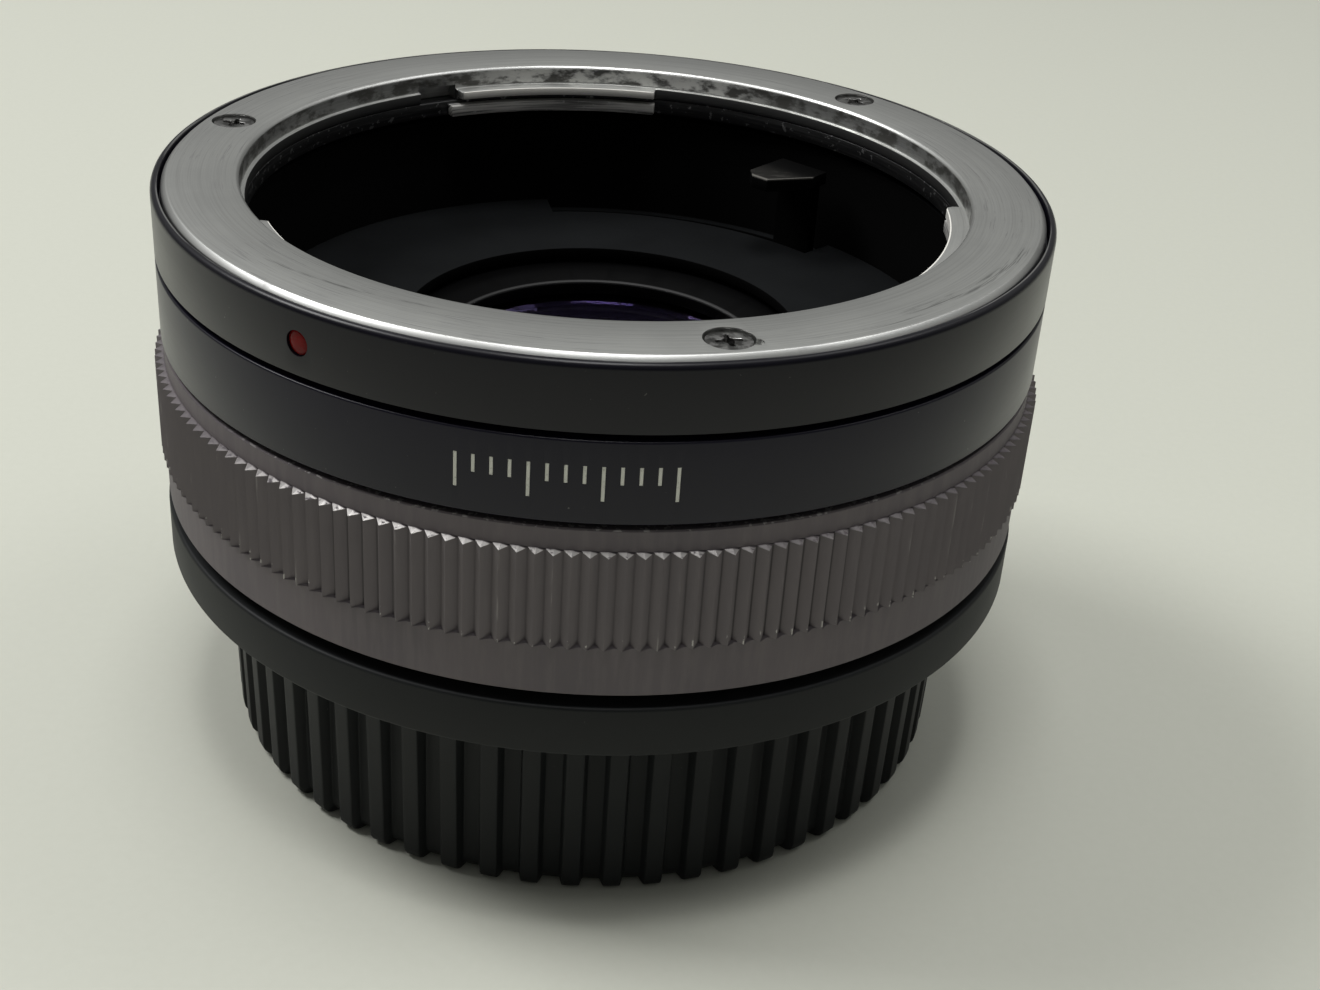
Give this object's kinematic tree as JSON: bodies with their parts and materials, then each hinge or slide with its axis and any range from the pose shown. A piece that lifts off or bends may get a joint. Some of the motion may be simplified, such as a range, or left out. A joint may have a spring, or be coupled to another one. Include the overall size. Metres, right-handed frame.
{
  "type": "camera teleconverter",
  "caption": "Short round lens converter with a steel bayonet plate, black rings, a toothed grip ring, inner glass and levers, standing on its ribbed rear cap.",
  "frame": {"origin": "middle of the rear cap's flat base, on the optical axis", "axes": "+Z along the optical axis towards the lens side; -Y towards the picture's viewpoint, +X right"},
  "size_m": [0.0634, 0.0634, 0.0419],
  "materials": {
    "mount_steel": "satin machined, bright at the edges",
    "screw_steel": "bright, a little worn in the cross",
    "black_anodised": "satin black anodised",
    "faded_anodised": "black anodising faded to purple brown",
    "flocked_black": "matte black anti-reflection paint",
    "lever_steel": "blackened, worn bright on the paddle",
    "spring_steel": "dark spring steel",
    "coated_glass": "violet anti-reflection coating",
    "cap_plastic": "moulded, fine matte texture",
    "red_paint": "glossy red paint",
    "white_paint": "white engraving paint"
  },
  "bodies": {
    "rear_cap": {"rear_cap": "cap_plastic"},
    "barrel": {"front_mount_ring": "mount_steel", "mount_spring_ring": "spring_steel", "front_screws": "screw_steel", "front_collar": "black_anodised", "index_dot": "red_paint", "marked_ring": "black_anodised", "index_marks": "white_paint", "grip_ring": "faded_anodised", "main_tube": "flocked_black", "baffle_plate": "flocked_black", "optic_cell": "flocked_black", "front_lens_retainer": "flocked_black", "rear_lens_retainer": "flocked_black", "retaining_clip": "spring_steel", "rear_mount_ring": "mount_steel", "rear_screws": "screw_steel", "cell_screws": "screw_steel", "bayonet_stop_pin": "screw_steel", "front_element": "coated_glass", "second_element": "coated_glass", "third_element": "coated_glass", "rear_element": "coated_glass", "front_spacer": "flocked_black", "middle_spacer": "flocked_black", "rear_spacer": "flocked_black", "stop_down_spring": "spring_steel", "signal_spring": "spring_steel"},
    "stop_down_lever": {"stop_down_ring": "lever_steel", "stop_down_front_lever": "lever_steel", "stop_down_rear_lever": "lever_steel", "stop_down_rivets": "screw_steel"},
    "signal_lever": {"signal_ring": "lever_steel", "signal_front_lever": "lever_steel", "signal_rear_lever": "lever_steel", "signal_rivets": "screw_steel"}
  },
  "joints": [
    {"name": "cap_pull", "type": "slide", "parent": "rear_cap", "child": "barrel", "axis": [0, 0, 1], "range_m": [0, 0.03]},
    {"name": "stop_down_swing", "type": "hinge", "parent": "barrel", "child": "stop_down_lever", "pos_m": [0, 0, 0.0265], "axis": [0, 0, 1], "range_deg": [0, 45], "stiffness_Nm_per_rad": 0.012, "springref_deg": -45.84},
    {"name": "signal_swing", "type": "hinge", "parent": "barrel", "child": "signal_lever", "pos_m": [0, 0, 0.0235], "axis": [0, 0, 1], "range_deg": [0, 35], "stiffness_Nm_per_rad": 0.008, "springref_deg": -45.84}
  ]
}
